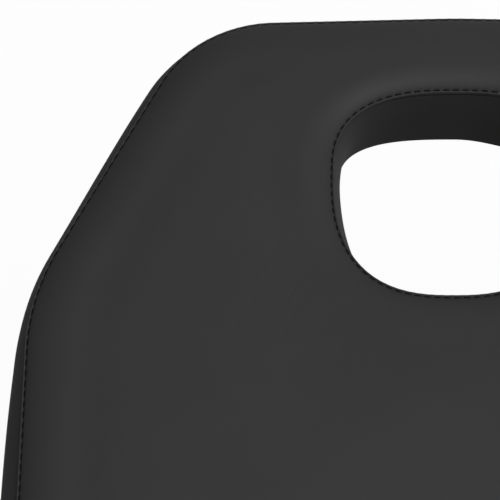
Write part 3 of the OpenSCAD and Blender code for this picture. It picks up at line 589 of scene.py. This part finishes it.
# The channel that the seam strip fills: (out from the seam, further drop) in millimetres
CHANNEL = [(-5.6, 0.0), (-4.4, 0.9), (-3.0, 1.9), (-1.2, 2.5), (-0.5, 2.3), (-0.3, 2.3)]
# The boxing's bulge on the backrest: (from the head seam, bulge) in millimetres
BULGES = [(0, 8.3), (35, 10.6), (70, 12), (115, 11), (155, 9.3), (190, 8.1), (230, 8.2), (265, 9.5),
          (300, 11.7), (360, 13.5), (450, 14.7), (600, 15)]
CORNER_PULL = 0.45
HEAD_FACING = 0.2
TURN_POINTS = 3
BLUR_POINTS = 14
TUCK_POWER = 1.6


def wide_at(normal, widths):
    return widths[0] + (widths[1] - widths[0]) * (1 - normal.y) / 2


def fall_at(out, width, drop):
    """How far the top panel has dropped at a place, out being its distance outside the seam."""
    angle = math.asin(math.sin(CROWN_END) * max(0, 1 + out / width))
    return drop * (1 - math.cos(angle)) / (1 - math.cos(CROWN_END))


def offset_ring(loop, out, drop):
    ring = []
    for i, p in enumerate(loop):
        reach = out[i] if isinstance(out, list) else out
        down = drop[i] if isinstance(drop, list) else drop
        q = p + outward(loop, i) * reach
        ring.append(Vector((q.x, q.y, top_z - down)))
    return ring


def crown_rings(loop, way, widths, drop):
    """Rings across the fall of the top panel, then the channel. The fall may widen along the seam."""
    rings = []
    start = CHANNEL[0][0] * MM
    local = [wide_at(outward(loop, i), widths) for i in range(len(loop))]
    for k in range(CROWN_RINGS):
        share = math.sin(math.pi / 2 * k / CROWN_RINGS)
        outs = [-w + (w + start) * share for w in local]
        rings.append(offset_ring(loop, [way * o for o in outs],
                                 [fall_at(o, w, drop) for o, w in zip(outs, local)]))
    for out, down in CHANNEL:
        rings.append(offset_ring(loop, way * out * MM,
                                 [fall_at(min(0, out * MM), w, drop) + down * MM for w in local]))
    return rings


def boxing(share, bulge):
    start = CHANNEL[-1]
    first = SEAM_DROP + start[1] * MM
    drop = first + (PAD_TH - first) * share
    upper = (drop - first) / (WIDEST_DROP - first)
    reach = bulge - start[0] * MM
    if upper < 1:
        return start[0] * MM + reach * (1 - (1 - upper) ** 2), drop
    lower = (drop - WIDEST_DROP) / (PAD_TH - WIDEST_DROP)
    return start[0] * MM + reach * (1 - (1 - BOTTOM_SHARE) * lower ** TUCK_POWER), drop


def from_table(table, value):
    for (a, p), (b, q) in zip(table, table[1:]):
        if value <= b:
            return p + (q - p) * ease((value - a) / (b - a))
    return table[-1][1]


def bulges_of(loop, up, down, sides):
    bulges = []
    for i, p in enumerate(loop):
        normal = outward(loop, i)
        ahead, behind = outward(loop, (i + TURN_POINTS) % len(loop)), outward(loop, i - TURN_POINTS)
        turn = ahead.angle(behind) / (2 * TURN_POINTS * (loop[1] - loop[0]).length)
        pull = CORNER_PULL * min(1, turn * CORNER_R) if normal.y < HEAD_FACING or sides is None else 0
        side = from_table(sides, (head_y - p.y) / MM) * MM if sides else SIDE_BULGE
        end = up if normal.y > 0 else down
        bulges.append((side * normal.x ** 2 + end * normal.y ** 2) * (1 - pull))
    return smooth_loop(bulges, BLUR_POINTS)


def smooth_loop(values, reach):
    n = len(values)
    weights = [math.exp(-(2 * k / reach) ** 2) for k in range(-reach, reach + 1)]
    total = sum(weights)
    return [sum(w * values[(i + k) % n] for k, w in zip(range(-reach, reach + 1), weights)) / total
            for i in range(n)]


def side_rings(loop, bulges):
    rings = [offset_ring(loop, -HEM_W, PAD_TH - HIDDEN), offset_ring(loop, -HEM_W, PAD_TH)]
    for k in range(BOX_RINGS, 0, -1):
        reach = [boxing(k / BOX_RINGS, b)[0] for b in bulges]
        rings.append(offset_ring(loop, reach, boxing(k / BOX_RINGS, 0)[1]))
    return rings + crown_rings(loop, 1, (CROWN_W, CROWN_W), SEAM_DROP)[::-1]


def between_rings(a, b, count):
    return [[p.lerp(q, k / (count + 1)) for p, q in zip(a, b)] for k in range(1, count + 1)]


def hole_rings(loop, board):
    rings = crown_rings(loop, -1, (HOLE_FALL_W, HOLE_FALL_FOOT_W), HOLE_SEAM_DROP)
    top = rings[-1]
    foot = offset_ring(board, 0.0, PAD_TH)
    for k in range(1, BOX_RINGS + 1):
        share = k / BOX_RINGS
        swell = LINING_BULGE * math.sin(math.pi * share)
        ring = []
        for i, (p, q) in enumerate(zip(top, foot)):
            inward = -outward(loop, i).to_3d() * swell
            ring.append(p.lerp(q, share) + inward)
        rings.append(ring)
    rings.append(offset_ring(loop, LINING_HEM_W, PAD_TH))
    rings.append(offset_ring(loop, LINING_HEM_W, PAD_TH - HIDDEN))
    return rings


# %% [markdown]
# The rings are now put in order: hem, boxing, crown and top panel, and at the face hole down its lining
# and out under the board again. The backrest's cover closes as a tube, because a hole goes through it.
# The seat has no hole, so its rings shrink to a small one in the middle, and a cap closes that.

# %% Covers
SEAT_MIDDLE_SHARE = 0.02


def make_back_cover():
    outer = side_rings(back_seam, bulges_of(back_seam, END_BULGE, GAP_BULGE, BULGES))
    inner = hole_rings(hole_seam, hole_board)
    rings = outer + between_rings(outer[-1], inner[0], TOP_RINGS) + inner
    piece = finish_piece(ring_mesh(rings, "tube"), "backrest_cover", vinyl, "backrest")
    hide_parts("back_cover")
    return piece


def make_seat_cover():
    outer = side_rings(seat_seam, bulges_of(seat_seam, GAP_BULGE, END_BULGE, None))
    middle = Vector((0, (seat_low.y + seat_high.y) / 2, top_z))
    inner = [middle + (p - middle) * SEAT_MIDDLE_SHARE for p in outer[-1]]
    rings = outer + between_rings(outer[-1], inner, TOP_RINGS) + [inner]
    piece = finish_piece(ring_mesh(rings, "caps"), "seat_cover_skin", vinyl, "bed")
    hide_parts("seat_cover")
    return piece


back_cover = make_back_cover()
seat_cover = make_seat_cover()
print("covers:", [len(c.data.polygons) for c in (back_cover, seat_cover)], "faces")

# %% [markdown]
# The foam is cut a little too big, so it presses the top panel up into a low, wide crown. Cloth under
# air pressure does the same. The simulation runs on a coarse remeshed copy, held still at the seams and
# sides, because thin quads upset a cloth solver. Its movement is then handed to the fine mesh, point by
# point, and a cap keeps the crown as low as on the real pad.

# %% Foam pressure
VOXEL = 11 * MM
HELD_W = 9 * MM
HELD_DROP = 14 * MM
FREE_W = 60 * MM
CROWN_RISE = 6 * MM
PRESSURE = 4.0
FRAMES = 20
NEAR_POINTS = 6


def freedom(co, seams_tree):
    """0 where the cover is held, 1 where the top panel can rise."""
    if co.z < top_z - HELD_DROP:
        return 0.0
    away = seams_tree.find(Vector((co.x, co.y, 0)))[2]
    return ease((away - HELD_W) / FREE_W)


def press_out(cover, seam_loops):
    points = [p for loop in seam_loops for p in loop]
    tree = KDTree(len(points))
    for i, p in enumerate(points):
        tree.insert(Vector((p.x, p.y, 0)), i)
    tree.balance()
    proxy = bpy.data.objects.new("pressure_copy", cover.data.copy())
    bpy.context.scene.collection.objects.link(proxy)
    remesh = proxy.modifiers.new("remesh", "REMESH")
    remesh.mode = "VOXEL"
    remesh.voxel_size = VOXEL
    proxy.data = bpy.data.meshes.new_from_object(
        proxy.evaluated_get(bpy.context.evaluated_depsgraph_get()))
    proxy.modifiers.clear()
    held = proxy.vertex_groups.new(name="held")
    rest = [v.co.copy() for v in proxy.data.vertices]
    for i, co in enumerate(rest):
        held.add([i], 1 - freedom(co, tree), "REPLACE")
    cloth = proxy.modifiers.new("cloth", "CLOTH")
    cloth.settings.vertex_group_mass = "held"
    cloth.settings.pin_stiffness = 1.0
    cloth.settings.effector_weights.gravity = 0
    cloth.settings.use_pressure = True
    cloth.settings.uniform_pressure_force = PRESSURE
    for frame_number in range(1, FRAMES + 1):
        bpy.context.scene.frame_set(frame_number)
    swollen = proxy.evaluated_get(bpy.context.evaluated_depsgraph_get()).data
    moves = [v.co - co for v, co in zip(swollen.vertices, rest)]
    bpy.context.scene.frame_set(1)
    near = KDTree(len(rest))
    for i, co in enumerate(rest):
        near.insert(co, i)
    near.balance()
    highest = 0
    for v in cover.data.vertices:
        free = freedom(v.co, tree)
        if free > 0:
            found = [(1 / (gap + MM), i) for _, i, gap in near.find_n(v.co, NEAR_POINTS)]
            rise = sum(w * moves[i].z for w, i in found) / sum(w for w, _ in found)
            rise = CROWN_RISE * math.tanh(max(0, rise) / CROWN_RISE) * free
            v.co.z += rise
            highest = max(highest, rise)
    bpy.data.objects.remove(proxy)
    return highest


for cover, loops in ((back_cover, (back_seam, hole_seam)), (seat_cover, (seat_seam,))):
    print(cover.name, "rose", round(press_out(cover, loops) / MM, 1), "mm")

# %% [markdown]
# Close up, a seam in vinyl is a row of small events. The boxing's edge is folded and stands up as a
# thin ridge. Beside it runs a groove, and every stitch pulls the groove down, while between two
# stitches the skin puffs up again. A strip of fine rings follows the seam with six points to a stitch,
# so that the groove, the ridge and the puckers can swell and sink with every stitch.

# %% Seam strip
STITCH_PITCH = 8.0 * MM
HOLE_PITCH = 6.8 * MM
STITCH_POINTS = 6
PUCKER_POWER = 1.5
# Across the strip, in millimetres: (out from the seam, drop at a stitch, drop between two stitches).
# The first rows drop from the fall of the panel, the others from the level of the seam.
PANEL_ROWS = [(-7.6, 0.10, 0.10), (-6.4, 0.02, 0.02), (-5.4, 0.0, 0.0), (-4.4, 0.06, 0.0),
              (-3.6, 0.14, 0.0), (-2.9, 0.25, -0.02), (-2.4, 0.45, -0.05), (-2.0, 0.9, 0.0),
              (-1.6, 1.4, 0.15), (-1.2, 1.3, 0.15)]
FOLD_ROWS = [(-0.95, -1.1, -1.7), (-0.7, -1.6, -1.95), (-0.3, -1.75, -2.0), (0.05, -1.6, -1.8),
             (0.35, -1.0, -1.2), (0.45, 0.2, 0.1), (0.1, 2.4, 2.3)]


def walk(loop, pitch, points):
    """Places along a seam, some points to each stitch, with the way ahead at every place."""
    spans = [(loop[(i + 1) % len(loop)] - p).length for i, p in enumerate(loop)]
    total = sum(spans)
    count = round(total / pitch) * points
    step = total / count
    places = []
    i, done = 0, 0.0
    for k in range(count):
        want = k * step
        while done + spans[i] < want:
            done += spans[i]
            i += 1
        share = (want - done) / spans[i]
        here = outward(loop, i).lerp(outward(loop, (i + 1) % len(loop)), share).normalized()
        places.append((loop[i].lerp(loop[(i + 1) % len(loop)], share), here))
    return places, step * points


def seam_strip(name, loop, pitch, way, widths, drop, body):
    places, _ = walk(loop, pitch, STITCH_POINTS)
    gaps = [max(0, math.cos(2 * math.pi * k / STITCH_POINTS)) ** PUCKER_POWER for k in range(len(places))]
    rings = []
    for out, at_stitch, at_gap in PANEL_ROWS + FOLD_ROWS:
        ring = []
        for (p, normal), gap in zip(places, gaps):
            q = p + normal * out * MM * way
            width = wide_at(normal, widths)
            level = fall_at(out * MM, width, drop) if out < FOLD_ROWS[0][0] else drop
            ring.append(Vector((q.x, q.y, top_z - level - (at_stitch + (at_gap - at_stitch) * gap) * MM)))
        rings.append(ring)
    return finish_piece(ring_mesh(rings, "tube"), name, vinyl, body)


seams = [
    ("backrest_edge", "backrest", back_seam, STITCH_PITCH, 1, (CROWN_W, CROWN_W), SEAM_DROP),
    ("face_hole", "backrest", hole_seam, HOLE_PITCH, -1, (HOLE_FALL_W, HOLE_FALL_FOOT_W), HOLE_SEAM_DROP),
    ("seat_edge", "bed", seat_seam, STITCH_PITCH, 1, (CROWN_W, CROWN_W), SEAM_DROP),
]
for name, body, loop, pitch, way, widths, drop in seams:
    strip = seam_strip(name + "_seam", loop, pitch, way, widths, drop, body)
    print(strip.name, len(strip.data.polygons), "faces")

# %% [markdown]
# Stitches, staples and the puddles of a weld are all one small shape in a long row. A thousand objects
# would be slow, so the shape is made once with a few dozen faces, and a list of places stretches, turns
# and copies it into one mesh.

# %% Rows of one small shape
BALL_SIDES = 8
BALL_BANDS = 6
BAR_BEVEL = 0.18


def small_ball():
    bm = bmesh.new()
    bmesh.ops.create_uvsphere(bm, u_segments=BALL_SIDES, v_segments=BALL_BANDS, radius=0.5)
    return bm


def small_bar():
    bm = bmesh.new()
    bmesh.ops.create_cube(bm, size=1)
    bmesh.ops.bevel(bm, geom=bm.edges, offset=BAR_BEVEL, segments=2, profile=0.5, affect="EDGES",
                    material=-1)
    return bm


def row_piece(name, shape, places, material, body):
    mesh = bpy.data.meshes.new(name)
    shape.to_mesh(mesh)
    shape.free()
    row = bmesh.new()
    for place in places:
        mesh.transform(place)
        row.from_mesh(mesh)
        mesh.transform(place.inverted())
    bpy.data.meshes.remove(mesh)
    return finish_piece(row, name, material, body)


# %% [markdown]
# The thread is black polyester. Each stitch is a ball stretched along the seam and laid in the groove.

# %% Stitches
THREAD_W = 1.5
THREAD_H = 1.1
THREAD_OUT = -1.45
THREAD_DROP = 0.75
GAP_SHARE = 0.24


def stitch_places(loop, pitch, way, widths, drop):
    turns = []
    places, step = walk(loop, pitch, 1)
    size = (step * (1 - GAP_SHARE), THREAD_W * MM, THREAD_H * MM, 1)
    middles, _ = walk(loop, pitch, 2)
    for p, normal in middles[1::2]:
        ahead = Vector((-normal.y, normal.x, 0))
        up = Vector((normal.x * way, normal.y * way, 1)).normalized()
        at = p + normal * THREAD_OUT * MM * way
        fall = fall_at(THREAD_OUT * MM, wide_at(normal, widths), drop)
        height = top_z - fall - THREAD_DROP * MM
        turn = Matrix((ahead, up.cross(ahead), up)).transposed().to_4x4()
        turns.append(Matrix.Translation((at.x, at.y, height)) @ turn @ Matrix.Diagonal(size))
    return turns


for name, body, loop, pitch, way, widths, drop in seams:
    stitches = stitch_places(loop, pitch, way, widths, drop)
    row_piece(name + "_stitches", small_ball(), stitches, thread_finish, body)
    print(name, len(stitches), "stitches")

# %% [markdown]
# Underneath, the vinyl is folded over the board as a hem, and the dust cover is laid up to it. Staples
# are shot through its edge every few centimetres. The part of a staple that shows is a flat bar. None
# is shot where a rubber pad of the frame will press, so the frame's own pad mesh says which to leave out.

# %% Staples
STAPLE_PITCH = 34 * MM
STAPLE_SIZE = (10 * MM, 1.4 * MM, 0.8 * MM, 1)
STAPLE_IN = 5 * MM
PAD_CLEAR = 7 * MM
pads = nodes["rubber_pads"].data
pad_faces = BVHTree.FromPolygons([v.co for v in pads.vertices], [f.vertices for f in pads.polygons])


def staple_places(loop, out):
    places = []
    for p, normal in walk(loop, STAPLE_PITCH, 1)[0]:
        at = (p + normal * out).to_3d() + Vector((0, 0, under_z))
        if pad_faces.find_nearest(at)[3] > PAD_CLEAR:
            ahead = Vector((-normal.y, normal.x, 0))
            turn = Matrix((ahead, normal.to_3d(), Vector((0, 0, -1)))).transposed().to_4x4()
            places.append(Matrix.Translation(at) @ turn @ Matrix.Diagonal(STAPLE_SIZE))
    return places


rows = [
    ("backrest_edge_staples", back_seam, -HEM_W - STAPLE_IN, "backrest"),
    ("face_hole_staples", hole_seam, LINING_HEM_W + STAPLE_IN, "backrest"),
    ("seat_edge_staples", seat_seam, -HEM_W - STAPLE_IN, "bed"),
]
for name, loop, out, body in rows:
    staples = staple_places(loop, out)
    row_piece(name, small_bar(), staples, slot_finish["zinc_steel"], body)
    print(name, len(staples))

# %% [markdown]
# The frame is welded. Where one tube ends on another, a bead runs round the joint: small puddles of
# metal that overlap, painted over with the rest. A table names each joint by the tube that ends there,
# the axis along which it ends, at which of its ends, and the sides that carry a bead. A side that lies
# flush with the other tube is ground flat and has none.

# %% Welds
BEAD_PITCH = 2.4 * MM
BEAD_SIZE = (4 * MM, 4.2 * MM, 4.2 * MM, 1)
CIRCLE_STEPS = 20
ROUND = "+y -y +z -z"
WELDS = [
    ("base", ("lower_rail_head", "lower_rail_foot"), "x", "-+", ROUND),
    ("bed", ("cross_rail_foot", "cross_rail_middle", "cross_rail_hinge", "cross_rail_rack_near",
             "cross_rail_rack_far"), "x", "-+", "+y -y +z"),
    ("bed", ("inner_leg_head_left", "inner_leg_head_right", "inner_leg_foot_left",
             "inner_leg_foot_right"), "z", "+", "+x -x +y -y"),
    ("backrest", ("back_rail_left", "back_rail_right"), "y", "-", "+x -x"),
    ("backrest", ("back_cross_head",), "x", "-+", "-y"),
]


def joint_lines(node, axis, end, sides):
    """The lines along the sides of a tube's box at one of its ends."""
    box = {"-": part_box(node)[0], "+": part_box(node)[1]}
    a = "xyz".index(axis)
    lines = []
    for side in sides.split():
        b = "xyz".index(side[1])
        corner = Vector((0, 0, 0))
        corner[a] = box[end][a]
        corner[b] = box[side[0]][b]
        start, stop = corner.copy(), corner.copy()
        start[3 - a - b] = box["-"][3 - a - b]
        stop[3 - a - b] = box["+"][3 - a - b]
        lines.append((start, stop))
    return lines


def plate_lines():
    """Both edges of each hinge ear on its rail, and of each rack on its cross rails."""
    ear_low, ear_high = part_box("hinge_ears")
    rail_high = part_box("side_rail_right")[1]
    cross_low, cross_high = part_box("cross_rail_rack_near")
    lines = []
    for side in (-1, 1):
        for y in (ear_low.y, ear_high.y):
            x = side * rail_high.x
            lines.append((Vector((x, y, ear_low.z)), Vector((x, y, rail_high.z))))
        low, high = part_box("rack_left" if side < 0 else "rack_right")
        for y in (low.y, high.y):
            for x in (low.x, high.x):
                lines.append((Vector((x, y, cross_low.z)), Vector((x, y, cross_high.z))))
    return lines


def bar_lines():
    """A ring round each end of the prop's bar, where it meets the arms."""
    low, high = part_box("prop_bar")
    middle = (low + high) / 2
    r = (high.z - low.z) / 2
    angles = [2 * math.pi * i / CIRCLE_STEPS for i in range(CIRCLE_STEPS + 1)]
    lines = []
    for x in (low.x, high.x):
        ring = [Vector((x, middle.y + r * math.cos(a), middle.z + r * math.sin(a))) for a in angles]
        lines += list(zip(ring, ring[1:]))
    return lines


def bead_places(lines):
    places = []
    for start, stop in lines:
        count = max(1, round((stop - start).length / BEAD_PITCH))
        turn = (stop - start).to_track_quat("X", "Z").to_matrix().to_4x4()
        for i in range(count):
            at = start.lerp(stop, (i + 0.5) / count)
            places.append(Matrix.Translation(at) @ turn @ Matrix.Diagonal(BEAD_SIZE))
    return places


weld_lines = {"base": [], "bed": plate_lines(), "backrest": [], "prop": bar_lines()}
for body, names, axis, ends, sides in WELDS:
    for name in names:
        for end in ends:
            weld_lines[body] += joint_lines(name, axis, end, sides)
for body, lines in weld_lines.items():
    beads = bead_places(lines)
    row_piece(body + "_welds", small_ball(), beads, slot_finish["frame_paint"], body)
    print(body, "welds:", len(beads), "beads")
